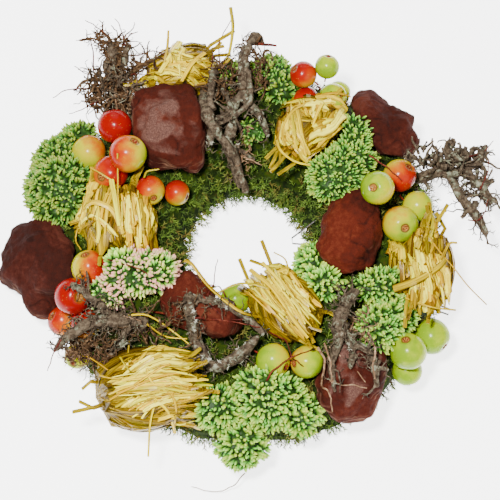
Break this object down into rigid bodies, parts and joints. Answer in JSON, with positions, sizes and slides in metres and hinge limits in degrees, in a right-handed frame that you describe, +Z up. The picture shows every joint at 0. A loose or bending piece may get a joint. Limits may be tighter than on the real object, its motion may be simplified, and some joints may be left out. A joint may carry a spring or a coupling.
{
  "type": "autumn wreath",
  "caption": "Round table wreath: moss over a wound straw ring, covered with crab apples, bark, sedum heads, folded straw and lichened twigs.",
  "frame": {"origin": "on the table, under the middle of the wreath's box, within 2 mm of the straw ring's centre", "axes": "+Z up from the table, +X to the right and +Y away from the viewer in the picture"},
  "size_m": [0.4064, 0.3622, 0.1111],
  "materials": {
    "straw_ring": "wound straw, matt",
    "moss": "matt, feathery",
    "bark": "rough, cracked",
    "red_apple": "waxy fruit skin",
    "orange_apple": "waxy fruit skin",
    "yellow_apple": "waxy fruit skin",
    "green_apple": "waxy fruit skin",
    "sedum": "waxy flower buds",
    "straw": "glossy dry straw",
    "twig": "weathered, lichened",
    "wire": "dark annealed wire"
  },
  "bodies": {
    "root": {"straw_ring": "straw_ring", "moss_mat_1": "moss", "moss_mat_2": "moss", "moss_mat_3": "moss", "moss_mat_4": "moss", "moss_mat_5": "moss", "moss_mat_6": "moss", "bark_1": "bark", "bark_2": "bark", "bark_3": "bark", "bark_4": "bark", "bark_5": "bark", "bark_6": "bark", "bark_7": "bark", "crab_apple_01": "orange_apple", "crab_apple_02": "green_apple", "crab_apple_03": "orange_apple", "crab_apple_04": "green_apple", "crab_apple_05": "orange_apple", "crab_apple_06": "green_apple", "crab_apple_07": "red_apple", "crab_apple_08": "green_apple", "crab_apple_09": "green_apple", "crab_apple_10": "green_apple", "crab_apple_11": "green_apple", "crab_apple_12": "orange_apple", "crab_apple_13": "orange_apple", "crab_apple_14": "yellow_apple", "crab_apple_15": "red_apple", "crab_apple_16": "orange_apple", "crab_apple_17": "red_apple", "crab_apple_18": "red_apple", "crab_apple_19": "green_apple", "crab_apple_20": "orange_apple", "crab_apple_21": "yellow_apple", "crab_apple_22": "yellow_apple", "crab_apple_23": "yellow_apple", "sedum_head_1": "sedum", "sedum_head_2": "sedum", "sedum_head_3": "sedum", "sedum_head_4": "sedum", "sedum_head_5": "sedum", "sedum_head_6": "sedum", "sedum_head_7": "sedum", "sedum_head_8": "sedum", "straw_bundle_1": "straw", "straw_bundle_2": "straw", "straw_bundle_3": "straw", "straw_bundle_4": "straw", "straw_bundle_5": "straw", "straw_bundle_6": "straw", "twig_1": "twig", "twig_2": "twig", "twig_3": "twig", "twig_4": "twig", "twig_5": "twig", "twig_6": "twig", "wire_pin_1": "wire", "wire_pin_2": "wire"}
  },
  "joints": []
}
